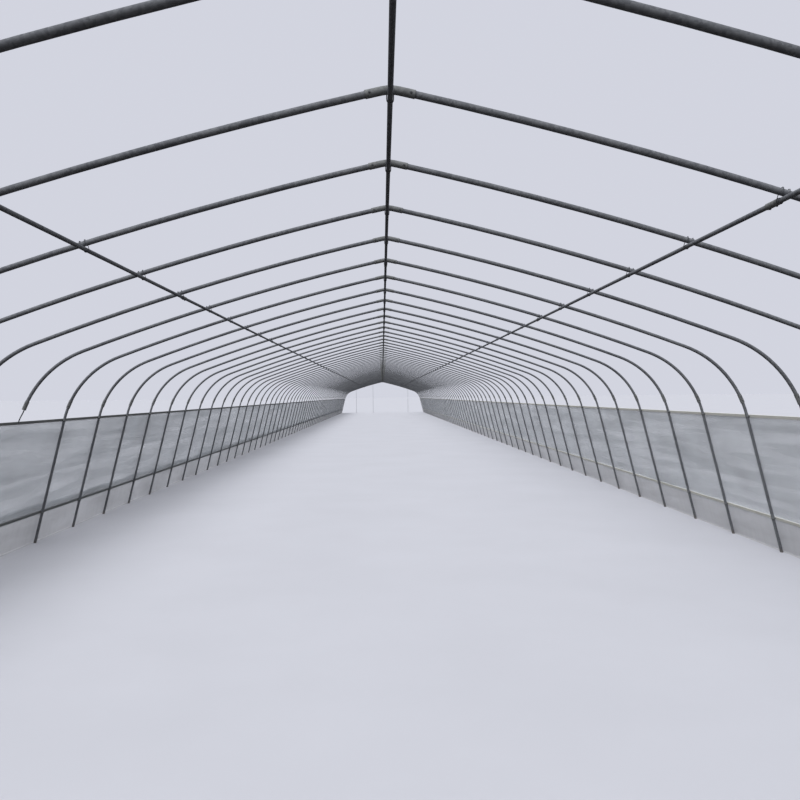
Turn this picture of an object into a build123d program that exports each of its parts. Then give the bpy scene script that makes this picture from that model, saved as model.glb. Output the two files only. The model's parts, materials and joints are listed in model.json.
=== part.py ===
from build123d import *
from math import cos, degrees, radians, sin, tan
import os

# Polytunnel greenhouse: a bare frame of round tube hoops with netted and skirted sides, as a 1:2 scale model.
# Lengths are millimetres of the model, so the real tunnel measures twice each value. Angles are degrees.
# X runs across the tunnel, Y along it from the near end to the far end, and Z is up. The origin is on the
# ground, in the middle of the plan.

# Hoops
HOOPS = 72
BAY = 550.0  # one hoop to the next
HALF_SPAN = 2000.0  # middle of the tunnel to a leg's axis at the ground
LEG_LEAN = 14.0  # of the legs, from upright
SPRING_HEIGHT = 700.0  # where the straight leg turns into the bend at the eave
EAVE_RADIUS = 505.0
EAVE_SLOPE = 20.4  # of the roof where the bend at the eave starts
RIDGE_SLOPE = 12.6  # of the roof beside the ridge
RIDGE_REACH = 20.0  # middle of the tunnel to the end of the bend at the ridge
JOINT_SLOPE = 66.0  # of the tube where the arch is pushed onto the leg
ARCH_TUBE = 16.5
LEG_TUBE = 15.0
TUBE_GAP = 0.4  # between the ends of two tubes inside their sleeve
FIT = 0.15  # clearance between round tubes and what they touch

# Sleeves of the hoops
RIDGE_SLEEVE_WALL = 1.6
RIDGE_SLEEVE_LENGTH = 114.0
COLLAR_WALL = 1.5
COLLAR_TURN = 2.6  # half of the turn that a collar covers on the bend at the eave

# One hoop has lost its left leg
LEGLESS_HOOP = 8

# Purlins
PURLIN_TUBE = 12.5
PURLIN_OVERHANG = 24.0  # past the axis of the end hoops
SIDE_PURLIN_SLOPE = 17.1  # of the roof where the side purlins run
PURLIN_BAYS = 5  # bays that one length of purlin spans
COUPLER_WALL = 1.5
COUPLER_LENGTH = 56.0
COUPLER_CLEAR = 8.0  # between a hoop's tube and the coupler behind it
RIDGE_FIRST_JOINT = 3  # hoop that the first coupler of each purlin stands behind
LEFT_FIRST_JOINT = 2
RIGHT_FIRST_JOINT = 4

# Film channels along the legs
CHANNEL_WIDTH = 14.0
CHANNEL_DEPTH = 5.0
CHANNEL_WALL = 0.9
CHANNEL_LIP = 3.2
CHANNEL_OVERHANG = 12.0  # past the axis of the end hoops
LOWER_CHANNEL_HEIGHT = 178.0  # of its middle, up the leg

# Net and skirt
NET_THICKNESS = 1.2
SKIRT_THICKNESS = 1.2
SHEET_GAP = 1.0  # between the net's foot and the skirt's head, in the lower channel's mouth
SHEET_BUTT = 0.6  # between two lengths of net or skirt

# Posts of the two open ends, as distances across the tunnel
POST_TUBE = 16.0
POST_PLACES = {"outer_left_post": -1280.0, "doorway_left_post": -465.0, "doorway_right_post": 1240.0}
POST_ABOVE_ARCH = 12.0  # end of the post over the arch's axis beside it

SECTIONS = 3  # stretches of the tunnel: a length of net and of skirt each, and the hoops that share a node

# Outline of the right half of a hoop: three arcs and a straight leg, each tangent to the next
leg_foot = Vector(HALF_SPAN, 0, 0)
leg_head = Vector(HALF_SPAN - SPRING_HEIGHT * tan(radians(LEG_LEAN)), 0, SPRING_HEIGHT)


def bend_point(centre, radius, slope):
    """The point of a bend where the tube slopes down by the angle given."""
    return centre + Vector(sin(radians(slope)), 0, cos(radians(slope))) * radius


eave_centre = leg_head - Vector(sin(radians(90 - LEG_LEAN)), 0, cos(radians(90 - LEG_LEAN))) * EAVE_RADIUS
roof_foot = bend_point(eave_centre, EAVE_RADIUS, EAVE_SLOPE)
roof_radius = (roof_foot.X - RIDGE_REACH) / (sin(radians(EAVE_SLOPE)) - sin(radians(RIDGE_SLOPE)))
roof_centre = roof_foot - Vector(sin(radians(EAVE_SLOPE)), 0, cos(radians(EAVE_SLOPE))) * roof_radius
roof_head = bend_point(roof_centre, roof_radius, RIDGE_SLOPE)
ridge_radius = RIDGE_REACH / sin(radians(RIDGE_SLOPE))
ridge_centre = Vector(0, 0, roof_head.Z - ridge_radius * cos(radians(RIDGE_SLOPE)))
ridge_height = ridge_centre.Z + ridge_radius

half_length = (HOOPS - 1) * BAY / 2
hoop_places = [index * BAY - half_length for index in range(HOOPS)]


def bend(centre, radius, slope_from, slope_to):
    """The arc of a bend between two slopes of the tube."""
    slopes = (slope_from, (slope_from + slope_to) / 2, slope_to)
    return ThreePointArc(*(bend_point(centre, radius, slope) for slope in slopes))


def tube(path, diameter, bore=0.0):
    """A bar of round section along a path, or a sleeve where it has a bore."""
    start = Plane(origin=path @ 0, z_dir=path % 0)
    section = Circle(diameter / 2) - Circle(bore / 2) if bore else Circle(diameter / 2)
    return sweep(start * section, path=path)


def degrees_along(length, radius):
    """The turn that a length of bend makes."""
    return degrees(length / radius)


def arch():
    """The bent tube from the ridge down to the joint with the leg, on the right."""
    end_gap = degrees_along(TUBE_GAP / 2, ridge_radius)
    arcs = [
        bend(ridge_centre, ridge_radius, end_gap, RIDGE_SLOPE),
        bend(roof_centre, roof_radius, RIDGE_SLOPE, EAVE_SLOPE),
        bend(eave_centre, EAVE_RADIUS, EAVE_SLOPE, JOINT_SLOPE),
    ]
    return tube(Wire(arcs), ARCH_TUBE)


def leg():
    """The straight leg with its bent head, cut level at the ground."""
    end_gap = degrees_along(TUBE_GAP, EAVE_RADIUS)
    below = leg_foot - (leg_head - leg_foot).normalized() * LEG_TUBE
    path = Wire([Line(below, leg_head), bend(eave_centre, EAVE_RADIUS, 90 - LEG_LEAN, JOINT_SLOPE + end_gap)])
    return split(tube(path, LEG_TUBE), bisect_by=Plane.XY, keep=Keep.TOP)


def collar():
    """The sleeve around the foot of an arch, where the leg enters it."""
    path = bend(eave_centre, EAVE_RADIUS, JOINT_SLOPE - COLLAR_TURN, JOINT_SLOPE + COLLAR_TURN)
    bore = ARCH_TUBE + FIT
    return tube(path, bore + 2 * COLLAR_WALL, bore)


def ridge_sleeve():
    """The bent sleeve that holds two arches together at the ridge."""
    end_slope = RIDGE_SLOPE + degrees_along(RIDGE_SLEEVE_LENGTH / 2 - RIDGE_REACH, roof_radius)
    left_roof_centre = Vector(-roof_centre.X, 0, roof_centre.Z)
    arcs = [
        bend(left_roof_centre, roof_radius, -end_slope, -RIDGE_SLOPE),
        bend(ridge_centre, ridge_radius, -RIDGE_SLOPE, RIDGE_SLOPE),
        bend(roof_centre, roof_radius, RIDGE_SLOPE, end_slope),
    ]
    bore = ARCH_TUBE + FIT
    return tube(Wire(arcs), bore + 2 * RIDGE_SLEEVE_WALL, bore)


def row(piece, places):
    """Copies of a piece at places along the tunnel."""
    return [Pos(0, place, 0) * piece for place in places]


def left(piece):
    """The same piece on the left side."""
    return mirror(piece, about=Plane.YZ)


def along(diameter, x, z, start, end, bore=0.0):
    """A round bar or sleeve that runs along the tunnel."""
    return tube(Line((x, start, z), (x, end, z)), diameter, bore)


def purlin(x, z, first_joint):
    """The lengths of one purlin, and the couplers over their joints."""
    reach = half_length + PURLIN_OVERHANG
    coupler_place = ARCH_TUBE / 2 + COUPLER_CLEAR + COUPLER_LENGTH / 2
    joints = [place + coupler_place for place in hoop_places[first_joint:-1:PURLIN_BAYS]]
    starts = [-reach] + [joint + TUBE_GAP / 2 for joint in joints]
    ends = [joint - TUBE_GAP / 2 for joint in joints] + [reach]
    lengths = [along(PURLIN_TUBE, x, z, start, end) for start, end in zip(starts, ends)]
    bore = PURLIN_TUBE + FIT
    couplers = [
        along(bore + 2 * COUPLER_WALL, x, z, joint - COUPLER_LENGTH / 2, joint + COUPLER_LENGTH / 2, bore)
        for joint in joints
    ]
    return lengths, couplers


def purlin_axis(surface):
    """How far a purlin's axis lies under that of a tube with the surface given."""
    return surface / 2 + FIT + PURLIN_TUBE / 2


# Wall frame on the right: local X points out of the wall from the legs' axes, local Y up along the legs
def wall_plane(reach):
    """The section plane of the right wall, at the far end of what is drawn on it."""
    lean = radians(LEG_LEAN)
    return Plane(origin=(HALF_SPAN, reach, 0), x_dir=(cos(lean), 0, sin(lean)), z_dir=(0, -1, 0))


def channel(height):
    """A film channel outside the legs, open outwards between its two lips."""
    back = max(ARCH_TUBE, LEG_TUBE) / 2 + FIT
    front = back + CHANNEL_DEPTH
    half = CHANNEL_WIDTH / 2
    upper_half = [
        (back + CHANNEL_WALL, half - CHANNEL_WALL),
        (front - CHANNEL_WALL, half - CHANNEL_WALL),
        (front - CHANNEL_WALL, half - CHANNEL_LIP),
        (front, half - CHANNEL_LIP),
        (front, half),
        (back, half),
    ]
    outline = upper_half + [(x, -y) for x, y in reversed(upper_half)]
    section = make_face(Polyline(*((x, y + height) for x, y in outline), close=True))
    reach = half_length + CHANNEL_OVERHANG
    return extrude(wall_plane(reach) * section, 2 * reach)


def sheet(low, high, thickness, number):
    """A length of flat sheet on the outside of the channels, between two heights up the wall."""
    inner = max(ARCH_TUBE, LEG_TUBE) / 2 + FIT + CHANNEL_DEPTH
    section = Pos(inner + thickness / 2, (low + high) / 2) * Rectangle(thickness, high - low)
    reach = half_length + CHANNEL_OVERHANG
    length = (2 * reach - (SECTIONS - 1) * SHEET_BUTT) / SECTIONS
    far_edge = -reach + number * length + (number - 1) * SHEET_BUTT
    return extrude(wall_plane(far_edge) * section, length)


def arch_height(x):
    """The height of the arch's axis over a place on the roof, right or left."""
    rise = (roof_radius**2 - (abs(x) - roof_centre.X) ** 2) ** 0.5
    return roof_centre.Z + rise


def post(x, end):
    """An upright post beside an end hoop, on its inner side. The far end is 1 and the near end -1."""
    y = end * (half_length - ARCH_TUBE / 2 - FIT - POST_TUBE / 2)
    height = arch_height(x) + POST_ABOVE_ARCH
    return Pos(x, y, height / 2) * Cylinder(POST_TUBE / 2, height)


upper_channel_height = leg_head.Z / cos(radians(LEG_LEAN)) - CHANNEL_WIDTH / 2
os.makedirs("parts", exist_ok=True)


def write(name, pieces):
    """Writes the solids of one sub-part."""
    solids = [solid for piece in pieces for solid in piece.solids()]
    export_step(Compound(children=solids) if len(solids) > 1 else solids[0], f"parts/{name}.step")


# Hoops, in stretches
right_arch, right_leg, right_collar, one_ridge_sleeve = arch(), leg(), collar(), ridge_sleeve()
for section in range(SECTIONS):
    first = section * HOOPS // SECTIONS
    stop = (section + 1) * HOOPS // SECTIONS
    places = hoop_places[first:stop]
    with_left_leg = [place for index, place in enumerate(places, first) if index != LEGLESS_HOOP]
    number = section + 1
    write(f"right_arches_{number}", row(right_arch, places))
    write(f"left_arches_{number}", row(left(right_arch), places))
    write(f"right_legs_{number}", row(right_leg, places))
    write(f"left_legs_{number}", row(left(right_leg), with_left_leg))
write("ridge_sleeves", row(one_ridge_sleeve, hoop_places))
write("right_collars", row(right_collar, hoop_places))
write("left_collars", row(left(right_collar), hoop_places))

# Purlins, under the arches
side_foot = bend_point(roof_centre, roof_radius - purlin_axis(ARCH_TUBE), SIDE_PURLIN_SLOPE)
ridge_sleeve_tube = ARCH_TUBE + FIT + 2 * RIDGE_SLEEVE_WALL
purlins = {
    "ridge_purlin": (0.0, ridge_height - purlin_axis(ridge_sleeve_tube), RIDGE_FIRST_JOINT),
    "left_purlin": (-side_foot.X, side_foot.Z, LEFT_FIRST_JOINT),
    "right_purlin": (side_foot.X, side_foot.Z, RIGHT_FIRST_JOINT),
}
for name, (x, z, first_joint) in purlins.items():
    lengths, couplers = purlin(x, z, first_joint)
    write(name, lengths)
    write(f"{name}_couplers", couplers)

# Side walls
wall = {"upper_channel": channel(upper_channel_height), "lower_channel": channel(LOWER_CHANNEL_HEIGHT)}
for number in range(1, SECTIONS + 1):
    net_foot, skirt_head = LOWER_CHANNEL_HEIGHT + SHEET_GAP / 2, LOWER_CHANNEL_HEIGHT - SHEET_GAP / 2
    wall[f"net_{number}"] = sheet(net_foot, upper_channel_height, NET_THICKNESS, number)
    buried = sheet(-CHANNEL_WIDTH, skirt_head, SKIRT_THICKNESS, number)
    wall[f"skirt_{number}"] = split(buried, bisect_by=Plane.XY, keep=Keep.TOP)
for name, piece in wall.items():
    write(f"right_{name}", [piece])
    write(f"left_{name}", [left(piece)])

# Posts of the open ends
for end_name, end in (("near", -1), ("far", 1)):
    for name, x in POST_PLACES.items():
        write(f"{end_name}_{name}", [post(x, end)])
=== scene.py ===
import json
from functools import partial
from math import asin, cos, pi, radians, sin

import bmesh
import bpy
from bpy.props import FloatProperty, FloatVectorProperty, IntProperty, PointerProperty
from mathutils import Matrix, Vector, noise


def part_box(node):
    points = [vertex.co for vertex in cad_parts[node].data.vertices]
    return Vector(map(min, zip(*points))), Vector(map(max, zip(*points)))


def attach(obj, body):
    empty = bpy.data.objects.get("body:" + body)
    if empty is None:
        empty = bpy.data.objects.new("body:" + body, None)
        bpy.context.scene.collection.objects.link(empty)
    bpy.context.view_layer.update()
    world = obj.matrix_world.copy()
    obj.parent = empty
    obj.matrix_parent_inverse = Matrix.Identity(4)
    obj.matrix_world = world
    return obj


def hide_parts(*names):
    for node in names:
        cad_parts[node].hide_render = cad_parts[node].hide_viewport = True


bl_info = {
    "name": "Polytunnel Dressing",
    "version": (1, 0, 0),
    "blender": (4, 5, 0),
    "location": "View3D > Sidebar > Polytunnel",
    "description": "Finishes a polytunnel frame: zinc, clips, lock wire, nets, skirts, screws and stage",
    "category": "Object",
}

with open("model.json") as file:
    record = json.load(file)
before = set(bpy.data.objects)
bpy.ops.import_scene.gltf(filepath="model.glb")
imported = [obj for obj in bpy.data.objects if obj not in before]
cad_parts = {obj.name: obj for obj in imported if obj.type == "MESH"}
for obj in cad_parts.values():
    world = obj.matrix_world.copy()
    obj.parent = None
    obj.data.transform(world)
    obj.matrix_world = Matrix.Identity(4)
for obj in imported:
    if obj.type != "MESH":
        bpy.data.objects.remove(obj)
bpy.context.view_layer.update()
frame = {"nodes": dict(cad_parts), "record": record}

# The hoops and the walls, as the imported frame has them
HOOPS = 72
LEGLESS_HOOP = 8
ARCH_RADIUS = 0.00825
LEG_RADIUS = 0.0075
POST_RADIUS = 0.008
PURLIN_RADIUS = 0.00625
SLEEVE_RADIUS = 0.009925
COLLAR_RADIUS = 0.009825
COUPLER_RADIUS = 0.007825
COUPLER_LENGTH = 0.056
COUPLER_HOOPS = {"ridge_purlin": 3, "left_purlin": 2, "right_purlin": 4}
PURLIN_BAYS = 5
HALF_SPAN = 2.0
LEG_LEAN = radians(14.0)
ROOF_SLOPE_AT_PURLIN = radians(17.1)
EAVE_JOINT_SLOPE = radians(66.0)
RIDGE_END, RIDGE_SLOPE = 0.020, radians(12.6)
EAVE_START, EAVE_SLOPE = 1.5115, radians(20.4)
POST_ABOVE_ARCH = 0.012
CHANNEL_FRONT = 0.0134
CHANNEL_BACK = 0.0084
CHANNEL_HALF = 0.007
SECTIONS = (1, 2, 3)
SIDES = {"right": 1, "left": -1}
PURLINS = {"ridge_purlin": 0.0, "left_purlin": -ROOF_SLOPE_AT_PURLIN, "right_purlin": ROOF_SLOPE_AT_PURLIN}
POSTS = ("outer_left_post", "doorway_left_post", "doorway_right_post")

# Small sizes and clearances of what is added to the frame
WIRE_CLEAR = 0.0004  # clip wire to the tubes beside it
CLIP_RISE = 0.0014  # clip wire over the arch, and the spread of its ends
CLIP_END = 0.003  # reach of the clip's ends behind the arch
CLIP_STEP = 0.001  # drift of the clip's wire on its way round
STRAP_CLEAR = 0.0002  # strap to the leg inside it
STRAP_FOOT = 0.004  # flat end of a strap behind a channel
STRAP_BENDS = 8
LOCK_INSET = 0.004  # lock wire from the channel's ends
LOCK_EDGE = 0.0026  # bends of the lock wire from the channel's edges
ONE_SHEET, TWO_SHEETS = 0.0012, 0.0020  # lock wire over the channel, with sheets between
SHEET_OUT = 0.0006  # middle of a sheet from the channel's front
SHEET_APART = 0.0006  # edge of a sheet from the middle of the lower channel
NET_GRIP, SKIRT_GRIP = 0.06, 0.05  # from a held edge to where a sheet hangs free
HEM_SHARE = 0.1  # of a skirt's rows that lie on the ground
HEM_CREASE = 0.0012
FLOOR_CLEAR = 0.0001
# Where the skirt meets or laps the net: its step outwards, the band that steps, and its lean above the channel
LAP_STEP, LAP_BAND, LAP_LEAN = 0.0009, 0.004, 0.16
CLAMP_WIDTH = 0.02
SCREW_INSET = 0.012  # screw from the end of its sleeve or coupler
COLLAR_SCREW_REACH = 0.011  # screw from the middle of its collar
SCREW_SINK, FLANGE_TOP = 0.0006, 0.0005
FLOOR_HALF = 400.0

near_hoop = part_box("right_arches_1")[0][1] + ARCH_RADIUS
far_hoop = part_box("right_arches_3")[1][1] - ARCH_RADIUS
BAY = (far_hoop - near_hoop) / (HOOPS - 1)
hoop_places = [near_hoop + BAY * index for index in range(HOOPS)]


def node_middle(node):
    """The middle of a CAD node's box."""
    low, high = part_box(node)
    return (Vector(low) + Vector(high)) / 2


def up_the_wall(node):
    """How far up the leaning wall the middle of a channel lies, from the ground."""
    out = (CHANNEL_FRONT + CHANNEL_BACK) / 2
    return node_middle(node)[2] / cos(LEG_LEAN) - out * sin(LEG_LEAN) / cos(LEG_LEAN)


def wall_point(side, out, up, along):
    """A point of a side wall: out from the legs' axes, up along them, and along the tunnel."""
    across = HALF_SPAN + out * cos(LEG_LEAN) - up * sin(LEG_LEAN)
    return Vector((side * across, along, out * sin(LEG_LEAN) + up * cos(LEG_LEAN)))


def wall_matrix(side, up, along):
    """The frame of a wall at a leg: X points out of the wall, Y along the tunnel, Z up the leg."""
    outward = Vector((side * cos(LEG_LEAN), 0, sin(LEG_LEAN)))
    upward = Vector((-side * sin(LEG_LEAN), 0, cos(LEG_LEAN)))
    turn = Matrix((outward, Vector((0, 1, 0)), upward)).transposed().to_4x4()
    return Matrix.Translation(wall_point(side, 0, up, along)) @ turn


def roof_slope(across):
    """The slope of the roof at a place across the tunnel, downwards to the right."""
    share = (abs(across) - RIDGE_END) / (EAVE_START - RIDGE_END)
    rise = sin(RIDGE_SLOPE) + share * (sin(EAVE_SLOPE) - sin(RIDGE_SLOPE))
    return asin(rise) * (1 if across > 0 else -1)


def roof_drop(across):
    """How far the arch's axis lies under the ridge at a place across the tunnel."""
    bend_radius = RIDGE_END / sin(RIDGE_SLOPE)
    roof_radius = (EAVE_START - RIDGE_END) / (sin(EAVE_SLOPE) - sin(RIDGE_SLOPE))
    to_bend_end = bend_radius * (1 - cos(RIDGE_SLOPE))
    return to_bend_end + roof_radius * (cos(RIDGE_SLOPE) - cos(roof_slope(abs(across))))


UPPER = up_the_wall("right_upper_channel")
LOWER = up_the_wall("right_lower_channel")


# Sizes and colours that a user would change


class WireSizes(bpy.types.PropertyGroup):
    """Wires, clips and straps."""

    clip_wire: FloatProperty(
        name="Clip wire", description="Diameter of the spring wire of a purlin clip",
        default=0.0024, min=0.0005, max=0.006, unit="LENGTH",
    )
    lock_wire: FloatProperty(
        name="Lock wire", description="Diameter of the zigzag wire in the film channels",
        default=0.0013, min=0.0004, max=0.004, unit="LENGTH",
    )
    lock_pitch: FloatProperty(
        name="Lock wire pitch", description="Length of one zigzag of the lock wire",
        default=0.036, min=0.01, max=0.2, unit="LENGTH",
    )
    strap_width: FloatProperty(
        name="Strap width", description="Width of the strap that holds a channel on a leg",
        default=0.007, min=0.002, max=0.02, unit="LENGTH",
    )
    strap_thickness: FloatProperty(
        name="Strap thickness", description="Thickness of the channel straps and post clamps",
        default=0.0009, min=0.0003, max=0.004, unit="LENGTH",
    )
    screw_flats: FloatProperty(
        name="Screw flats", description="Width of a hexagonal screw head",
        default=0.0040, min=0.002, max=0.012, unit="LENGTH",
    )
    tie_wire: FloatProperty(
        name="Tie wire", description="Diameter of the wire that ties the legless hoop to the channel",
        default=0.0060, min=0.0005, max=0.01, unit="LENGTH",
    )


class SheetSizes(bpy.types.PropertyGroup):
    """Net and skirt."""

    thickness: FloatProperty(
        name="Sheet thickness", description="Thickness of the net and the film",
        default=0.0006, min=0.0001, max=0.003, unit="LENGTH",
    )
    columns_per_bay: IntProperty(
        name="Columns per bay", description="Faces of a sheet along one bay",
        default=12, min=2, max=40,
    )
    net_rows: IntProperty(
        name="Net rows", description="Faces up the net", default=26, min=4, max=60,
    )
    skirt_rows: IntProperty(
        name="Skirt rows", description="Faces up the skirt", default=14, min=4, max=40,
    )
    net_slack: FloatProperty(
        name="Net slack", description="How far the net bellies out between two legs",
        default=0.0035, min=0.0, max=0.02, unit="LENGTH",
    )
    skirt_slack: FloatProperty(
        name="Skirt slack", description="Depth of the folds in the film skirt",
        default=0.003, min=0.0, max=0.02, unit="LENGTH",
    )
    lap: FloatProperty(
        name="Lap", description="How far the left skirt laps up outside the net", default=0.044,
        min=0.0, max=0.1, unit="LENGTH",
    )
    hem: FloatProperty(
        name="Hem", description="Width of the skirt's edge that is turned in on the ground",
        default=0.0048, min=0.0, max=0.03, unit="LENGTH",
    )


class FinishColours(bpy.types.PropertyGroup):
    """Colours of the tunnel's finishes."""

    zinc_dark: FloatVectorProperty(
        name="Zinc, dark", description="Dark grains of the galvanised tubes", subtype="COLOR",
        default=(0.122, 0.128, 0.147), min=0, max=1,
    )
    zinc_light: FloatVectorProperty(
        name="Zinc, light", description="Light grains of the galvanised tubes", subtype="COLOR",
        default=(0.252, 0.262, 0.286), min=0, max=1,
    )
    sleeve: FloatVectorProperty(
        name="Sleeves", description="Light grains of sleeves and couplers", subtype="COLOR",
        default=(0.27, 0.28, 0.29), min=0, max=1,
    )
    channel: FloatVectorProperty(
        name="Channels", description="Light grains of the bright film channels", subtype="COLOR",
        default=(0.83, 0.83, 0.79), min=0, max=1,
    )
    # Left channels: a darker copy of the channel finish, painted shade for the shade their inner faces lie in.
    painted_shade_channel: FloatVectorProperty(
        name="Shaded channels", description="Light grains of the shadowed channels on the left", subtype="COLOR",
        default=(0.26, 0.27, 0.28), min=0, max=1,
    )
    net: FloatVectorProperty(
        name="Net", description="Threads of the insect net", subtype="COLOR",
        default=(0.70, 0.745, 0.80), min=0, max=1,
    )
    film: FloatVectorProperty(
        name="Film", description="Milky film of the skirt", subtype="COLOR",
        default=(0.83, 0.84, 0.88), min=0, max=1,
    )
    # On the skirts, this soil colour along the foot is also a painted contact shadow on the ground.
    soil: FloatVectorProperty(
        name="Soil", description="Dust and splashes of red soil near the ground", subtype="COLOR",
        default=(0.235, 0.165, 0.105), min=0, max=1,
    )
    rust: FloatVectorProperty(
        name="Rust", description="Specks of rust on wire and sleeves", subtype="COLOR",
        default=(0.155, 0.060, 0.022), min=0, max=1,
    )


class StageSettings(bpy.types.PropertyGroup):
    """Floor, light and camera."""

    floor: FloatVectorProperty(
        name="Floor", description="Colour of the floor", subtype="COLOR",
        default=(0.585, 0.592, 0.652), min=0, max=1,
    )
    floor_bounce: FloatVectorProperty(
        name="Floor bounce", description="Colour of the floor as seen by diffuse light", subtype="COLOR",
        default=(0.050, 0.046, 0.044), min=0, max=1,
    )
    sky: FloatVectorProperty(
        name="Sky", description="Colour of the background", subtype="COLOR",
        default=(0.645, 0.660, 0.740), min=0, max=1,
    )
    sky_light: FloatProperty(
        name="Sky light", description="Strength of the light from above", default=0.88, min=0, max=4,
    )
    sun: FloatProperty(
        name="Soft lamp", description="Strength of the wide soft lamp", default=1.75, min=0, max=10,
    )
    focal_pixels: FloatProperty(
        name="Focal length", description="Focal length in pixels of the 800 pixel wide picture",
        default=787.6, min=100, max=4000,
    )
    eye_height: FloatProperty(
        name="Eye height", description="Height of the camera", default=0.8143, unit="LENGTH",
    )
    eye_across: FloatProperty(
        name="Eye across", description="Camera's place across the tunnel", default=-0.0245, unit="LENGTH",
    )
    eye_bays: FloatProperty(
        name="Eye bays", description="Camera's place along the tunnel, in bays from the first hoop",
        default=0.8056,
    )
    turn: FloatProperty(
        name="Turn", description="Turn of the camera to the right",
        default=radians(1.3026), subtype="ANGLE",
    )
    dip: FloatProperty(
        name="Dip", description="Dip of the camera below level", default=radians(0.3068), subtype="ANGLE",
    )
    roll: FloatProperty(
        name="Roll", description="Clockwise roll of the camera", default=radians(0.5471), subtype="ANGLE",
    )


# Materials


class Wiring:
    """Adds shader nodes to a tree and joins them."""

    def __init__(self, tree):
        self.tree = tree

    def node(self, kind, links=None, **settings):
        """A node with settings on it, and links as {input: a socket or a plain value}."""
        made = self.tree.nodes.new(kind)
        for name, value in settings.items():
            setattr(made, name, value)
        for name, value in (links or {}).items():
            self.feed(made.inputs[name], value)
        return made

    def feed(self, target, value):
        """Links a socket to an input, or sets the input's own value."""
        if isinstance(value, bpy.types.NodeSocket):
            self.tree.links.new(value, target)
        elif target.type == "RGBA" and len(value) == 3:
            target.default_value = (*value, 1.0)
        else:
            target.default_value = value

    def mix(self, factor, first, second, blend="MIX"):
        """A colour between two others."""
        made = self.node("ShaderNodeMix", data_type="RGBA", blend_type=blend)
        self.feed(made.inputs["Factor"], factor)
        ends = [socket for socket in made.inputs if socket.type == "RGBA"]
        self.feed(ends[0], first)
        self.feed(ends[1], second)
        return next(out for out in made.outputs if out.type == "RGBA")

    def maths(self, operation, first, second=0.0, clamp=False):
        """The result of a sum on two values."""
        made = self.node("ShaderNodeMath", operation=operation, use_clamp=clamp)
        self.feed(made.inputs[0], first)
        self.feed(made.inputs[1], second)
        return made.outputs[0]

    def spread(self, value, low, high, to_low=0.0, to_high=1.0):
        """A value mapped from one range to another, and held inside it."""
        made = self.node("ShaderNodeMapRange", clamp=True)
        ends = {"From Min": low, "From Max": high, "To Min": to_low, "To Max": to_high}
        for name, number in ends.items():
            made.inputs[name].default_value = number
        self.feed(made.inputs["Value"], value)
        return made.outputs["Result"]

    def grey(self, value):
        """A grey with the brightness given."""
        parts = {"Red": value, "Green": value, "Blue": value}
        return self.node("ShaderNodeCombineColor", parts).outputs["Color"]

    def place(self):
        """The point's place on the object."""
        return self.node("ShaderNodeTexCoord").outputs["Object"]

    def noise(self, scale, detail=3.0, stretch=None):
        """A noise value on the point's place, stretched along the axes if asked."""
        place = self.place()
        if stretch:
            place = self.node("ShaderNodeMapping", {"Vector": place, "Scale": stretch}).outputs["Vector"]
        made = self.node("ShaderNodeTexNoise", {"Vector": place, "Scale": scale, "Detail": detail})
        return made.outputs["Fac"]


def shader_group(name, inputs, outputs):
    """An empty node group with named sockets, as its wiring, its input node and its output node."""
    tree = bpy.data.node_groups.new(name, "ShaderNodeTree")
    for label, kind, default in inputs:
        socket = tree.interface.new_socket(label, in_out="INPUT", socket_type=kind)
        socket.default_value = (*default, 1.0) if kind == "NodeSocketColor" else default
    for label, kind in outputs:
        tree.interface.new_socket(label, in_out="OUTPUT", socket_type=kind)
    wiring = Wiring(tree)
    return wiring, wiring.node("NodeGroupInput").outputs, wiring.node("NodeGroupOutput").inputs


COLOUR, VALUE = "NodeSocketColor", "NodeSocketFloat"


def zinc_group():
    """Grains of zinc: a colour between dark and light, a roughness and a fine height."""
    wiring, given, result = shader_group(
        "Zinc Grains",
        [("Dark", COLOUR, (0.1, 0.1, 0.1)), ("Light", COLOUR, (0.2, 0.2, 0.2)), ("Grain", VALUE, 160.0)],
        [("Color", COLOUR), ("Roughness", VALUE), ("Height", VALUE)],
    )
    place = wiring.place()
    spangle = wiring.node("ShaderNodeTexVoronoi", {"Vector": place, "Scale": given["Grain"]})
    patch = wiring.node("ShaderNodeTexNoise", {"Vector": place, "Scale": 7.0, "Detail": 4.0}).outputs["Fac"]
    cell = wiring.node("ShaderNodeSeparateColor", {"Color": spangle.outputs["Color"]}).outputs["Red"]
    share = wiring.maths("ADD", wiring.maths("MULTIPLY", cell, 0.45), wiring.maths("MULTIPLY", patch, 0.75))
    share = wiring.spread(share, 0.2, 0.95)
    wiring.feed(result["Color"], wiring.mix(share, given["Dark"], given["Light"]))
    wiring.feed(result["Roughness"], wiring.spread(cell, 0.0, 1.0, 0.38, 0.62))
    wiring.feed(result["Height"], patch)
    return wiring.tree


def soil_group():
    """Dry soil that has splashed up from the ground: a colour over another, and how much of it there is."""
    wiring, given, result = shader_group(
        "Soil Splash",
        [("Color", COLOUR, (0.5, 0.5, 0.5)), ("Soil", COLOUR, (0.3, 0.15, 0.07)),
         ("Reach", VALUE, 0.05), ("Amount", VALUE, 0.8)],
        [("Color", COLOUR), ("Amount", VALUE)],
    )
    height = wiring.node("ShaderNodeSeparateXYZ", {"Vector": wiring.place()}).outputs["Z"]
    level = wiring.maths("SUBTRACT", 1.0, wiring.maths("DIVIDE", height, given["Reach"]), clamp=True)
    splash = wiring.spread(wiring.noise(34.0, 5.0), 0.32, 0.68)
    falling = wiring.maths("POWER", level, 1.6)
    share = wiring.maths("MULTIPLY", wiring.maths("ADD", splash, falling), falling)
    share = wiring.maths("MULTIPLY", share, given["Amount"], clamp=True)
    wiring.feed(result["Color"], wiring.mix(share, given["Color"], given["Soil"]))
    wiring.feed(result["Amount"], share)
    return wiring.tree


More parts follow.
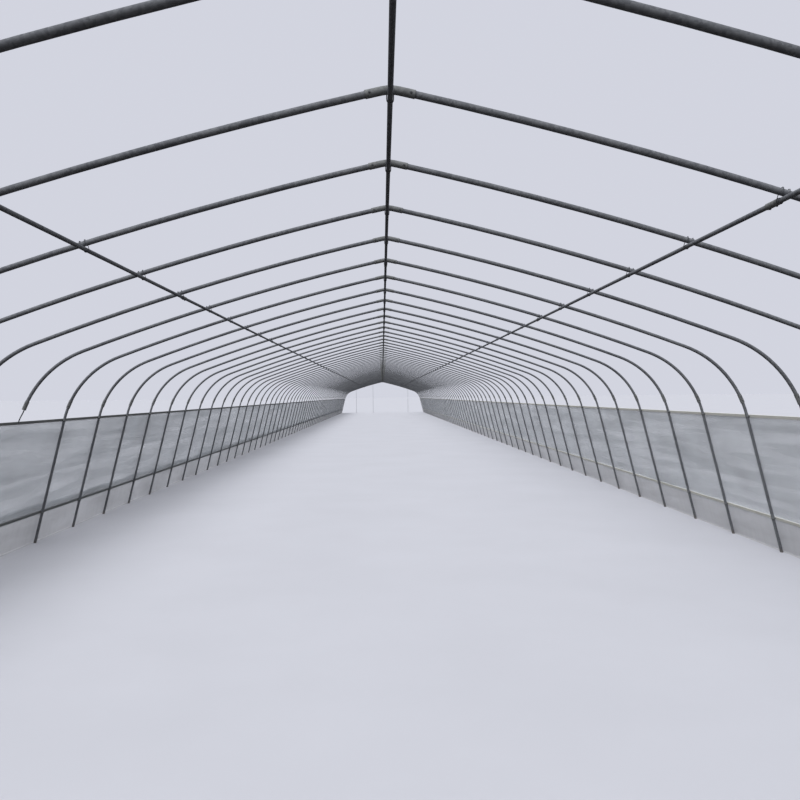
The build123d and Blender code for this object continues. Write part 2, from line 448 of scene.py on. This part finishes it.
def rust_group():
    """Small specks and runs of rust: a colour over another, and how much of it there is."""
    wiring, given, result = shader_group(
        "Rust Specks",
        [("Color", COLOUR, (0.5, 0.5, 0.5)), ("Rust", COLOUR, (0.15, 0.06, 0.02)), ("Amount", VALUE, 0.3)],
        [("Color", COLOUR), ("Amount", VALUE)],
    )
    fine = wiring.noise(210.0, 4.0)
    broad = wiring.noise(9.0, 3.0)
    share = wiring.maths("MULTIPLY", wiring.spread(fine, 0.52, 0.70), wiring.spread(broad, 0.45, 0.75))
    share = wiring.maths("MULTIPLY", share, given["Amount"], clamp=True)
    wiring.feed(result["Color"], wiring.mix(share, given["Color"], given["Rust"]))
    wiring.feed(result["Amount"], share)
    return wiring.tree


def weave_group():
    """Threads of a plain weave: how much of the light they stop, and a height."""
    wiring, given, result = shader_group(
        "Plain Weave", [("Pitch", VALUE, 0.0012)], [("Threads", VALUE), ("Height", VALUE)],
    )
    place = wiring.node("ShaderNodeSeparateXYZ", {"Vector": wiring.place()})
    turns = wiring.maths("DIVIDE", 2 * pi, given["Pitch"])
    warp = wiring.maths("SINE", wiring.maths("MULTIPLY", place.outputs["Y"], turns))
    weft = wiring.maths("SINE", wiring.maths("MULTIPLY", place.outputs["Z"], turns))
    height = wiring.maths("MAXIMUM", warp, weft)
    wiring.feed(result["Threads"], wiring.spread(height, -0.2, 0.8))
    wiring.feed(result["Height"], height)
    return wiring.tree


GROUP_MAKERS = {
    "Zinc Grains": zinc_group,
    "Soil Splash": soil_group,
    "Rust Specks": rust_group,
    "Plain Weave": weave_group,
}


def group_node(wiring, name, links):
    """A shared node group placed in a material with its own values."""
    tree = bpy.data.node_groups.get(name) or GROUP_MAKERS[name]()
    made = wiring.node("ShaderNodeGroup", node_tree=tree)
    for label, value in links.items():
        wiring.feed(made.inputs[label], value)
    return made.outputs


def blank_material(name):
    """A new material, as its wiring and its shader's inputs."""
    made = bpy.data.materials.new(f"{name}_finish")
    made.use_nodes = True
    return made, Wiring(made.node_tree), made.node_tree.nodes["Principled BSDF"].inputs


def scaled(colour, share):
    """A colour made darker or lighter."""
    return tuple(part * share for part in colour)


def metal(name, dark, light, metallic, rust=0.12, soil=0.25, reach=0.05, grain=160.0):
    """Galvanised steel with grains, specks of rust, and soil near the ground."""
    colours = bpy.context.scene.tunnel_colours
    made, wiring, shader = blank_material(name)
    zinc = group_node(wiring, "Zinc Grains", {"Dark": dark, "Light": light, "Grain": grain})
    rusted = group_node(
        wiring, "Rust Specks",
        {"Color": zinc["Color"], "Rust": colours.rust, "Amount": rust},
    )
    dirty = group_node(
        wiring, "Soil Splash",
        {"Color": rusted["Color"], "Soil": colours.soil, "Reach": reach, "Amount": soil},
    )
    wiring.feed(shader["Base Color"], dirty["Color"])
    cover = wiring.maths("MAXIMUM", rusted["Amount"], dirty["Amount"])
    bare = wiring.maths("SUBTRACT", 1.0, cover)
    wiring.feed(shader["Metallic"], wiring.maths("MULTIPLY", bare, metallic))
    rough = wiring.maths("ADD", zinc["Roughness"], wiring.maths("MULTIPLY", cover, 0.3), clamp=True)
    wiring.feed(shader["Roughness"], rough)
    shader["Specular IOR Level"].default_value = 0.0
    bump = wiring.node("ShaderNodeBump", {"Strength": 0.12, "Distance": 0.0006, "Height": zinc["Height"]})
    wiring.feed(shader["Normal"], bump.outputs["Normal"])
    return made


def net_material():
    """White insect net, grey with dust, that the background shows through."""
    colours = bpy.context.scene.tunnel_colours
    made, wiring, shader = blank_material("insect_net")
    weave = group_node(wiring, "Plain Weave", {"Pitch": 0.0012})
    dust = wiring.spread(wiring.noise(3.0, 5.0), 0.35, 0.7)
    dusty = wiring.mix(dust, colours.net, scaled(colours.net, 0.78))
    dirty = group_node(
        wiring, "Soil Splash",
        {"Color": dusty, "Soil": colours.soil, "Reach": 0.26, "Amount": 0.12},
    )
    wiring.feed(shader["Base Color"], dirty["Color"])
    streaks = wiring.noise(3.4, 5.0, (1.0, 0.28, 5.5))
    cloud = wiring.spread(streaks, 0.33, 0.68, 0.34, 0.56)
    threads = wiring.maths("MULTIPLY", wiring.maths("SUBTRACT", weave["Threads"], 0.5), 0.22)
    wiring.feed(shader["Alpha"], wiring.maths("ADD", cloud, threads, clamp=True))
    shader["Roughness"].default_value = 0.75
    bump = wiring.node("ShaderNodeBump", {"Strength": 0.2, "Distance": 0.0003, "Height": weave["Height"]})
    wiring.feed(shader["Normal"], bump.outputs["Normal"])
    return made


def film_material():
    """Milky film with fine creases and water marks, and soil colour along its foot that is partly splashed
    soil and partly a painted contact shadow.
    """
    colours = bpy.context.scene.tunnel_colours
    made, wiring, shader = blank_material("skirt_film")
    marks = wiring.spread(wiring.noise(26.0, 5.0, (1.0, 1.0, 0.12)), 0.42, 0.72)
    clouds = wiring.spread(wiring.noise(2.6, 4.0), 0.35, 0.7)
    clean = wiring.mix(clouds, colours.film, scaled(colours.film, 0.86))
    marked = wiring.mix(wiring.maths("MULTIPLY", marks, 0.25), clean, scaled(colours.film, 0.7))
    # Soil colour along the skirt's foot: partly splashed soil, partly a painted shadow where the film meets
    # the ground.
    dirty = group_node(
        wiring, "Soil Splash",
        {"Color": marked, "Soil": colours.soil, "Reach": 0.016, "Amount": 0.12},
    )
    wiring.feed(shader["Base Color"], dirty["Color"])
    marked_rough = wiring.spread(marks, 0.0, 1.0, 0.34, 0.48)
    soil_rough = wiring.maths("MULTIPLY", dirty["Amount"], 0.4)
    wiring.feed(shader["Roughness"], wiring.maths("ADD", marked_rough, soil_rough))
    haze = wiring.spread(wiring.noise(4.0, 4.0, (1.0, 0.4, 2.0)), 0.3, 0.7, 0.46, 0.64)
    wiring.feed(shader["Alpha"], wiring.maths("MAXIMUM", haze, dirty["Amount"]))
    crease = wiring.noise(60.0, 6.0, (1.0, 1.0, 0.35))
    bump = wiring.node("ShaderNodeBump", {"Strength": 0.35, "Distance": 0.0008, "Height": crease})
    wiring.feed(shader["Normal"], bump.outputs["Normal"])
    return made


def finish(name):
    """One of the tunnel's finishes, made on its first use."""
    if f"{name}_finish" in bpy.data.materials:
        return bpy.data.materials[f"{name}_finish"]
    colours = bpy.context.scene.tunnel_colours
    dark, light = tuple(colours.zinc_dark), tuple(colours.zinc_light)
    steels = {
        "galvanised_tube": (dark, light, 0.02, {}),
        "sleeve_steel": (scaled(colours.sleeve, 0.55), tuple(colours.sleeve), 0.02, {"rust": 0.25}),
        "channel_steel": (
            scaled(colours.channel, 0.85), tuple(colours.channel), 0.03, {"rust": 0.1, "soil": 0.2},
        ),
        # The left channels' darker copy of the channel finish is painted shade.
        "painted_shade_channel": (scaled(colours.painted_shade_channel, 0.6), tuple(colours.painted_shade_channel), 0.03, {}),
        "post_steel": (scaled(light, 2.15), scaled(light, 3.1), 0.03, {"rust": 0.2}),
        "wire_steel": (scaled(dark, 0.6), scaled(light, 0.7), 0.02, {"rust": 0.5, "grain": 420.0}),
    }
    if name in steels:
        dark_grains, light_grains, metallic, wear = steels[name]
        return metal(name, dark_grains, light_grains, metallic, **wear)
    return {"insect_net": net_material, "skirt_film": film_material}[name]()


# Making pieces


def finished(name, shape, material, thickness=0.0, smooth=True):
    """Turns a bmesh into a piece that rides on the tunnel, given a wall thickness if asked."""
    bmesh.ops.recalc_face_normals(shape, faces=shape.faces)
    mesh = bpy.data.meshes.new(name)
    shape.to_mesh(mesh)
    shape.free()
    mesh.materials.append(finish(material))
    for face in mesh.polygons:
        face.use_smooth = smooth
    piece = bpy.data.objects.new(name, mesh)
    bpy.context.scene.collection.objects.link(piece)
    if thickness:
        wall = piece.modifiers.new("Wall", "SOLIDIFY")
        wall.thickness = thickness
        wall.offset = 0.0
    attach(piece, "root")
    return piece


def wire_mesh(points, diameter, sides=3, cyclic=False, steps=3, kind="NURBS"):
    """A round wire along some points, as a mesh. Sides is half the number of its sides."""
    curve = bpy.data.curves.new("wire", "CURVE")
    curve.dimensions = "3D"
    curve.bevel_depth = diameter / 2
    curve.bevel_resolution = max(sides - 2, 0)
    curve.resolution_u = steps
    curve.use_fill_caps = not cyclic
    spline = curve.splines.new(kind)
    spline.points.add(len(points) - 1)
    for target, point in zip(spline.points, points):
        target.co = (*point, 1.0)
    spline.use_cyclic_u = cyclic
    if kind == "NURBS":
        spline.order_u = 3
        spline.use_endpoint_u = True
    holder = bpy.data.objects.new("wire", curve)
    bpy.context.scene.collection.objects.link(holder)
    mesh = bpy.data.meshes.new_from_object(holder.evaluated_get(bpy.context.evaluated_depsgraph_get()))
    bpy.data.objects.remove(holder)
    bpy.data.curves.remove(curve)
    return mesh


def verts_of(items):
    """The vertices among the items of a bmesh."""
    return [item for item in items if isinstance(item, bmesh.types.BMVert)]


def repeated(mesh, matrices):
    """One bmesh with a copy of a mesh at each matrix."""
    shape = bmesh.new()
    shape.from_mesh(mesh)
    bmesh.ops.remove_doubles(shape, verts=shape.verts, dist=1e-6)
    first = shape.verts[:] + shape.edges[:] + shape.faces[:]
    for matrix in matrices[1:]:
        copy = bmesh.ops.duplicate(shape, geom=first)["geom"]
        bmesh.ops.transform(shape, matrix=matrix, verts=verts_of(copy))
    bmesh.ops.transform(shape, matrix=matrices[0], verts=verts_of(first))
    return shape


def strap_mesh(points, width, thickness):
    """A flat strap along some points in the XY plane, its width along Z."""
    shape = bmesh.new()
    verts = [shape.verts.new((*point, -width / 2)) for point in points]
    edges = [shape.edges.new(pair) for pair in zip(verts, verts[1:])]
    raised = bmesh.ops.extrude_edge_only(shape, edges=edges)["geom"]
    bmesh.ops.translate(shape, verts=verts_of(raised), vec=(0, 0, width))
    bmesh.ops.recalc_face_normals(shape, faces=shape.faces)
    bmesh.ops.solidify(shape, geom=shape.faces[:], thickness=thickness)
    bmesh.ops.recalc_face_normals(shape, faces=shape.faces)
    mesh = bpy.data.meshes.new("strap")
    shape.to_mesh(mesh)
    shape.free()
    return mesh


def band_mesh(radius, width, thickness, segments=20):
    """A round band around the Z axis."""
    shape = bmesh.new()
    bmesh.ops.create_cone(
        shape, cap_ends=False, segments=segments, radius1=radius, radius2=radius, depth=width,
    )
    bmesh.ops.solidify(shape, geom=shape.faces[:], thickness=thickness)
    bmesh.ops.recalc_face_normals(shape, faces=shape.faces)
    mesh = bpy.data.meshes.new("band")
    shape.to_mesh(mesh)
    shape.free()
    return mesh


class FinishFrame(bpy.types.Operator):
    """Gives every tube, sleeve, channel and post of the frame its steel"""

    bl_idname = "tunnel.finish_frame"
    bl_label = "Finish the Frame"

    def execute(self, context):
        slots = {row["node"]: row["material_slot"] for row in frame["record"]["subparts"]}
        for name, node in frame["nodes"].items():
            if slots[name] in ("insect_net", "skirt_film"):
                continue
            node.data.materials.clear()
            # The left channels take the darker copy of the channel finish: painted shade.
            in_painted_shade = name.startswith("left") and slots[name] == "channel_steel"
            node.data.materials.append(finish("painted_shade_channel" if in_painted_shade else slots[name]))
        return {"FINISHED"}


class AddPurlinClips(bpy.types.Operator):
    """Ties each purlin to each arch with a clip of spring wire"""

    bl_idname = "tunnel.purlin_clips"
    bl_label = "Purlin Clips"

    def execute(self, context):
        wire = context.scene.tunnel_wires.clip_wire
        half = PURLIN_RADIUS + wire / 2 + WIRE_CLEAR
        over = 2 * ARCH_RADIUS + wire / 2 + CLIP_RISE
        under = -2 * PURLIN_RADIUS - wire / 2
        beside = ARCH_RADIUS + wire / 2 + WIRE_CLEAR
        hook = [
            (half + CLIP_RISE, -beside - CLIP_END, CLIP_STEP),
            (half, -beside, ARCH_RADIUS),
            (half, -beside * 0.7, over),
            (half, beside * 0.7, over),
            (half, beside, ARCH_RADIUS),
            (half, beside + CLIP_STEP, under * 0.5),
            (half * 0.85, beside + 2 * CLIP_STEP, under * 0.92),
            (half * 0.35, beside + 2 * CLIP_STEP, under),
        ]
        path = hook + [(-x, y, z) for x, y, z in reversed(hook)]
        mesh = wire_mesh(path, wire, sides=2, steps=2)
        for name, slope in PURLINS.items():
            middle = node_middle(name)
            lift = PURLIN_RADIUS / cos(slope)
            turn = Matrix.Rotation(slope, 4, "Y")
            places = [
                Matrix.Translation((middle[0], place, middle[2] + lift)) @ turn
                for place in hoop_places
            ]
            finished(f"{name}_clips", repeated(mesh, places), "wire_steel")
        return {"FINISHED"}


class AddChannelStraps(bpy.types.Operator):
    """Holds the film channels on the legs with a strap around each leg"""

    bl_idname = "tunnel.channel_straps"
    bl_label = "Channel Straps"

    def execute(self, context):
        sizes = context.scene.tunnel_wires
        radius = LEG_RADIUS + sizes.strap_thickness / 2 + STRAP_CLEAR
        points = [(CHANNEL_BACK, radius + STRAP_FOOT), (CHANNEL_BACK, radius), (radius * 0.4, radius)]
        for step in range(STRAP_BENDS + 1):
            angle = pi / 2 + pi * step / STRAP_BENDS
            points.append((radius * cos(angle), radius * sin(angle)))
        points += [(radius * 0.4, -radius), (CHANNEL_BACK, -radius), (CHANNEL_BACK, -radius - STRAP_FOOT)]
        mesh = strap_mesh(points, sizes.strap_width, sizes.strap_thickness)
        for side_name, side in SIDES.items():
            for level, up in (("upper", UPPER), ("lower", LOWER)):
                places = [
                    wall_matrix(side, up, place)
                    for index, place in enumerate(hoop_places)
                    if not (side_name == "left" and index == LEGLESS_HOOP)
                ]
                name = f"{side_name}_{level}_straps"
                finished(name, repeated(mesh, places), "sleeve_steel")
        return {"FINISHED"}


class AddLockWire(bpy.types.Operator):
    """Locks net and film in the channels with a zigzag wire"""

    bl_idname = "tunnel.lock_wire"
    bl_label = "Lock Wire"

    def execute(self, context):
        sizes = context.scene.tunnel_wires
        low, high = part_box("right_upper_channel")
        start, end = low[1] + LOCK_INSET, high[1] - LOCK_INSET
        turns = int((end - start) / sizes.lock_pitch)
        reach = CHANNEL_HALF - LOCK_EDGE
        for side_name, side in SIDES.items():
            for level, up in (("upper", UPPER), ("lower", LOWER)):
                sheets = TWO_SHEETS if (side_name, level) == ("left", "lower") else ONE_SHEET
                out = CHANNEL_FRONT + sheets + sizes.lock_wire / 2
                points = []
                for turn in range(2 * turns + 1):
                    swing = reach if turn % 2 else -reach
                    points.append(wall_point(side, out, up + swing, start + turn * sizes.lock_pitch / 2))
                mesh = wire_mesh(points, sizes.lock_wire, sides=2, kind="POLY")
                shape = repeated(mesh, [Matrix.Identity(4)])
                finished(f"{side_name}_{level}_lock_wire", shape, "wire_steel")
        return {"FINISHED"}


def ripple(along, up, slack):
    """How far a slack sheet stands out from its flat place."""
    bay = (along - near_hoop) / BAY
    belly = abs(sin(pi * bay))
    broad = noise.noise(Vector((along * 1.3, up * 2.0, 7.7)))
    folds = noise.noise(Vector((along * 1.7, up * 13.0 + along * 0.6, 3.1)))
    fine = noise.noise(Vector((along * 6.0, up * 26.0, 5.3)))
    return slack * (belly * (0.35 + 0.6 * broad) + 0.65 * folds + 0.25 * fine)


def sheet_shape(side, node, rows, profile):
    """A grid along a length of sheet. Profile gives its places out and up the wall, row by row."""
    low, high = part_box(node)
    columns = round((high[1] - low[1]) / BAY) * bpy.context.scene.tunnel_sheets.columns_per_bay
    shape = bmesh.new()
    bmesh.ops.create_grid(shape, x_segments=columns, y_segments=rows, size=0.5)
    for vert in shape.verts:
        along = low[1] + (vert.co.x + 0.5) * (high[1] - low[1])
        out, up = profile(vert.co.y + 0.5, along)
        vert.co = wall_point(side, out, up, along)
    return shape


class AddNets(bpy.types.Operator):
    """Stretches the insect net between the two channels of each wall"""

    bl_idname = "tunnel.nets"
    bl_label = "Insect Nets"

    def execute(self, context):
        sizes = context.scene.tunnel_sheets
        flat = CHANNEL_FRONT + SHEET_OUT
        foot, head = LOWER + SHEET_APART, UPPER

        def net_profile(share, along):
            up = foot + share * (head - foot)
            grip = min(1.0, min(up - foot, head - up) / NET_GRIP)
            return flat + grip * ripple(along, up, sizes.net_slack), up

        for side_name, side in SIDES.items():
            for number in SECTIONS:
                node = f"{side_name}_net_{number}"
                shape = sheet_shape(side, node, sizes.net_rows, net_profile)
                piece = finished(f"{node}_sheet", shape, "insect_net", sizes.thickness)
                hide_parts(node)
        return {"FINISHED"}


class AddSkirts(bpy.types.Operator):
    """Hangs the film skirt from the lower channel of each wall to the ground"""

    bl_idname = "tunnel.skirts"
    bl_label = "Film Skirts"

    def execute(self, context):
        sizes = context.scene.tunnel_sheets
        flat = CHANNEL_FRONT + SHEET_OUT
        ground = flat * sin(LEG_LEAN) / cos(LEG_LEAN)
        head = LOWER - SHEET_APART
        lowest = sizes.thickness / 2 + FLOOR_CLEAR

        def skirt_profile(share, along, lap):
            if share < HEM_SHARE:
                turned = (HEM_SHARE - share) / HEM_SHARE
                rise = lowest + HEM_CREASE * turned * (1 + noise.noise(Vector((along * 7.0, 0.3, 0.1))))
                across = flat * cos(LEG_LEAN) + ground * sin(LEG_LEAN) - turned * sizes.hem
                out = across * cos(LEG_LEAN) + rise * sin(LEG_LEAN)
                return out, rise * cos(LEG_LEAN) - across * sin(LEG_LEAN)
            top = head + lap * (1 + 0.25 * noise.noise(Vector((along * 1.9, 0.7, 4.2))))
            up = -ground + (share - HEM_SHARE) / (1 - HEM_SHARE) * (top + ground)
            grip = min(1.0, min(up + ground, abs(head - up)) / SKIRT_GRIP)
            out = flat + grip * ripple(along, up * 1.7 + 5.0, sizes.skirt_slack)
            if up > head - LAP_BAND:
                out += LAP_STEP + LAP_LEAN * max(0.0, up - head - CHANNEL_HALF)
            return out, max(up, (lowest - out * sin(LEG_LEAN)) / cos(LEG_LEAN))

        for side_name, side in SIDES.items():
            lap = sizes.lap if side_name == "left" else 0.0
            for number in SECTIONS:
                node = f"{side_name}_skirt_{number}"
                profile = partial(skirt_profile, lap=lap)
                shape = sheet_shape(side, node, sizes.skirt_rows, profile)
                piece = finished(f"{node}_sheet", shape, "skirt_film", sizes.thickness)
                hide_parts(node)
        return {"FINISHED"}


class AddTieWire(bpy.types.Operator):
    """Ties the hoop that has lost its left leg down to the upper channel"""

    bl_idname = "tunnel.tie_wire"
    bl_label = "Tie Wire"

    def execute(self, context):
        place = hoop_places[LEGLESS_HOOP]
        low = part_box("left_arches_1")[0]
        inward, upward = ARCH_RADIUS * sin(EAVE_JOINT_SLOPE), ARCH_RADIUS * cos(EAVE_JOINT_SLOPE)
        joint = Vector((low[0] + inward, place, low[2] + upward))
        hold = wall_point(-1, CHANNEL_BACK - 0.002, UPPER + CHANNEL_HALF * 0.3, place)
        points = [
            joint + Vector((0.004, 0, 0.014)), joint, joint.lerp(hold, 0.35) + Vector((0.0015, 0.003, 0)),
            joint.lerp(hold, 0.7) + Vector((-0.001, -0.002, 0)), hold + Vector((0, 0, 0.004)), hold,
        ]
        mesh = wire_mesh(points, context.scene.tunnel_wires.tie_wire, sides=4, steps=5)
        finished("tie_wire", repeated(mesh, [Matrix.Identity(4)]), "wire_steel")
        return {"FINISHED"}


class AddPostClamps(bpy.types.Operator):
    """Clamps the posts of the open ends to the end hoops"""

    bl_idname = "tunnel.post_clamps"
    bl_label = "Post Clamps"

    def execute(self, context):
        sizes = context.scene.tunnel_wires
        on_post = band_mesh(POST_RADIUS + sizes.strap_thickness, CLAMP_WIDTH, sizes.strap_thickness)
        on_hoop = band_mesh(ARCH_RADIUS + sizes.strap_thickness, CLAMP_WIDTH, sizes.strap_thickness)
        post_bands, hoop_bands = [], []
        for end, hoop in (("near", hoop_places[0]), ("far", hoop_places[-1])):
            for post in POSTS:
                middle = node_middle(f"{end}_{post}")
                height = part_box(f"{end}_{post}")[1][2] - POST_ABOVE_ARCH
                post_bands.append(Matrix.Translation((middle[0], middle[1], height)))
                turn = Matrix.Rotation(pi / 2 + roof_slope(middle[0]), 4, "Y")
                hoop_bands.append(Matrix.Translation((middle[0], hoop, height)) @ turn)
        finished("post_clamps", repeated(on_post, post_bands), "sleeve_steel")
        finished("hoop_clamps", repeated(on_hoop, hoop_bands), "sleeve_steel")
        return {"FINISHED"}


def screw_mesh(flats, height, flange):
    """A hexagonal screw head on its flange, with its foot at the origin and Z out of the tube."""
    shape = bmesh.new()
    head_radius = flats / 2 / cos(pi / 6)
    stages = ((8, flange, -SCREW_SINK, FLANGE_TOP), (6, head_radius, FLANGE_TOP, height))
    for sides, radius, low, high in stages:
        made = bmesh.ops.create_cone(
            shape, cap_ends=True, segments=sides, radius1=radius, radius2=radius * 0.94, depth=high - low,
        )
        bmesh.ops.translate(shape, verts=made["verts"], vec=(0, 0, (low + high) / 2))
    mesh = bpy.data.meshes.new("screw")
    shape.to_mesh(mesh)
    shape.free()
    return mesh


class AddScrews(bpy.types.Operator):
    """Screws the sleeves, collars and couplers to their tubes"""

    bl_idname = "tunnel.screws"
    bl_label = "Screws"

    def execute(self, context):
        sizes = context.scene.tunnel_wires
        mesh = screw_mesh(sizes.screw_flats, sizes.screw_flats * 0.5, sizes.screw_flats * 0.78)
        for name, places in (
            ("ridge_screws", self.ridge_places()), ("eave_screws", self.eave_places()),
            ("coupler_screws", self.coupler_places()),
        ):
            finished(name, repeated(mesh, places), "wire_steel", smooth=False)
        return {"FINISHED"}

    def ridge_places(self):
        """Two screws on the near side of each ridge sleeve."""
        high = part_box("ridge_sleeves")[1]
        across = high[0] - SCREW_INSET
        turn = Matrix.Rotation(pi / 2, 4, "X")
        height = high[2] - SLEEVE_RADIUS - roof_drop(across)
        return [
            Matrix.Translation((side * across, hoop - SLEEVE_RADIUS, height)) @ turn
            for hoop in hoop_places for side in (-1, 1)
        ]

    def eave_places(self):
        """Two screws on the near side of each collar, one in the arch and one in the leg."""
        turn = Matrix.Rotation(pi / 2, 4, "X")
        places = []
        for side_name, side in SIDES.items():
            middle = node_middle(f"{side_name}_collars")
            down = Vector((side * cos(EAVE_JOINT_SLOPE), 0, -sin(EAVE_JOINT_SLOPE))) * COLLAR_SCREW_REACH
            for index, hoop in enumerate(hoop_places):
                for step in (-1, 1):
                    if side_name == "left" and index == LEGLESS_HOOP and step == 1:
                        continue
                    place = Vector((middle[0], hoop - COLLAR_RADIUS, middle[2])) + down * step
                    places.append(Matrix.Translation(place) @ turn)
        return places

    def coupler_places(self):
        """Two screws in the underside of each coupler."""
        turn = Matrix.Rotation(pi, 4, "X")
        places = []
        for name, first in COUPLER_HOOPS.items():
            middle = node_middle(name)
            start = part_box(f"{name}_couplers")[0][1]
            for index in range(first, HOOPS - 1, PURLIN_BAYS):
                near_edge = start + (index - first) * BAY
                for inset in (SCREW_INSET, COUPLER_LENGTH - SCREW_INSET):
                    place = (middle[0], near_edge + inset, middle[2] - COUPLER_RADIUS)
                    places.append(Matrix.Translation(place) @ turn)
        return places


def seen(wiring):
    """1 for rays that see a thing, straight, in gloss or through glass, and 0 for diffuse light."""
    path = wiring.node("ShaderNodeLightPath").outputs
    either = wiring.maths("MAXIMUM", path["Is Camera Ray"], path["Is Glossy Ray"])
    return wiring.maths("MAXIMUM", either, path["Is Transmission Ray"])


class SetStage(bpy.types.Operator):
    """Lays the floor and sets the light, the background and the camera"""

    bl_idname = "tunnel.stage"
    bl_label = "Stage"

    def execute(self, context):
        settings = context.scene.tunnel_stage
        self.lay_floor(settings)
        self.light_world(context.scene, settings)
        self.place_camera(context.scene, settings)
        context.scene.view_settings.view_transform = "Standard"
        return {"FINISHED"}

    def lay_floor(self, settings):
        """A wide flat floor just under the legs."""
        shape = bmesh.new()
        bmesh.ops.create_grid(shape, x_segments=1, y_segments=1, size=FLOOR_HALF)
        mesh = bpy.data.meshes.new("floor")
        shape.to_mesh(mesh)
        shape.free()
        floor = bpy.data.objects.new("floor", mesh)
        bpy.context.scene.collection.objects.link(floor)
        made, wiring, shader = blank_material("floor_paint")
        mottle = wiring.spread(wiring.noise(1.5, 4.0), 0.3, 0.7, 0.96, 1.0)
        shade = wiring.mix(1.0, settings.floor, wiring.grey(mottle), "MULTIPLY")
        wiring.feed(shader["Base Color"], wiring.mix(seen(wiring), settings.floor_bounce, shade))
        shader["Roughness"].default_value = 0.9
        shader["Specular IOR Level"].default_value = 0.1
        mesh.materials.append(made)

    def light_world(self, scene, settings):
        """Even light from above, and a pale background."""
        world = bpy.data.worlds.new("soft_sky")
        world.use_nodes = True
        scene.world = world
        wiring = Wiring(world.node_tree)
        background = world.node_tree.nodes["Background"].inputs
        direction = wiring.node("ShaderNodeTexCoord").outputs["Generated"]
        height = wiring.node("ShaderNodeSeparateXYZ", {"Vector": direction}).outputs["Z"]
        above = wiring.spread(height, 0.0, 0.8, 0.30, 1.0)
        light = wiring.mix(1.0, wiring.grey(above), (0.97, 0.985, 1.0), "MULTIPLY")
        eye = seen(wiring)
        wiring.feed(background["Color"], wiring.mix(eye, light, settings.sky))
        wiring.feed(background["Strength"], wiring.spread(eye, 0.0, 1.0, settings.sky_light, 1.0))
        lamp = bpy.data.lights.new("soft_lamp", "SUN")
        lamp.energy = settings.sun
        lamp.angle = radians(40.0)
        holder = bpy.data.objects.new("soft_lamp", lamp)
        holder.rotation_euler = (0, radians(-38.0), radians(45.0))
        scene.collection.objects.link(holder)

    def place_camera(self, scene, settings):
        """A camera inside the tunnel, between its first two hoops."""
        lens = bpy.data.cameras.new("eye")
        lens.sensor_width = 36.0
        lens.lens = settings.focal_pixels / 800 * lens.sensor_width
        lens.clip_start = 0.02
        lens.clip_end = 900.0
        eye = bpy.data.objects.new("eye", lens)
        place = Vector((settings.eye_across, near_hoop + settings.eye_bays * BAY, settings.eye_height))
        turn = Matrix.Rotation(-settings.turn, 4, "Z")
        tilt = Matrix.Rotation(pi / 2 - settings.dip, 4, "X")
        roll = Matrix.Rotation(-settings.roll, 4, "Z")
        eye.matrix_world = Matrix.Translation(place) @ turn @ tilt @ roll
        scene.collection.objects.link(eye)
        scene.camera = eye


STEPS = (
    FinishFrame, AddPurlinClips, AddChannelStraps, AddLockWire, AddNets, AddSkirts, AddTieWire,
    AddPostClamps, AddScrews, SetStage,
)
SETTINGS = {
    "tunnel_wires": WireSizes, "tunnel_sheets": SheetSizes, "tunnel_colours": FinishColours,
    "tunnel_stage": StageSettings,
}


class TunnelPanel(bpy.types.Panel):
    """Lists the steps that dress the polytunnel"""

    bl_idname = "VIEW3D_PT_tunnel"
    bl_label = "Polytunnel"
    bl_space_type = "VIEW_3D"
    bl_region_type = "UI"
    bl_category = "Polytunnel"

    def draw(self, context):
        for step in STEPS:
            self.layout.operator(step.bl_idname)
        for name, group in SETTINGS.items():
            box = self.layout.box()
            for prop in group.__annotations__:
                box.prop(getattr(context.scene, name), prop)


def register():
    """Registers the settings, the steps and the panel."""
    for name, group in SETTINGS.items():
        bpy.utils.register_class(group)
        setattr(bpy.types.Scene, name, PointerProperty(type=group))
    for item in (*STEPS, TunnelPanel):
        bpy.utils.register_class(item)


def unregister():
    """Takes everything out again."""
    for item in (TunnelPanel, *reversed(STEPS)):
        bpy.utils.unregister_class(item)
    for name, group in reversed(SETTINGS.items()):
        delattr(bpy.types.Scene, name)
        bpy.utils.unregister_class(group)


def main():
    """Dresses the frame."""
    register()
    bpy.ops.tunnel.finish_frame()
    bpy.ops.tunnel.purlin_clips()
    bpy.ops.tunnel.channel_straps()
    bpy.ops.tunnel.lock_wire()
    bpy.ops.tunnel.nets()
    bpy.ops.tunnel.skirts()
    bpy.ops.tunnel.tie_wire()
    bpy.ops.tunnel.post_clamps()
    bpy.ops.tunnel.screws()
    bpy.ops.tunnel.stage()


if __name__ == "__main__":
    main()
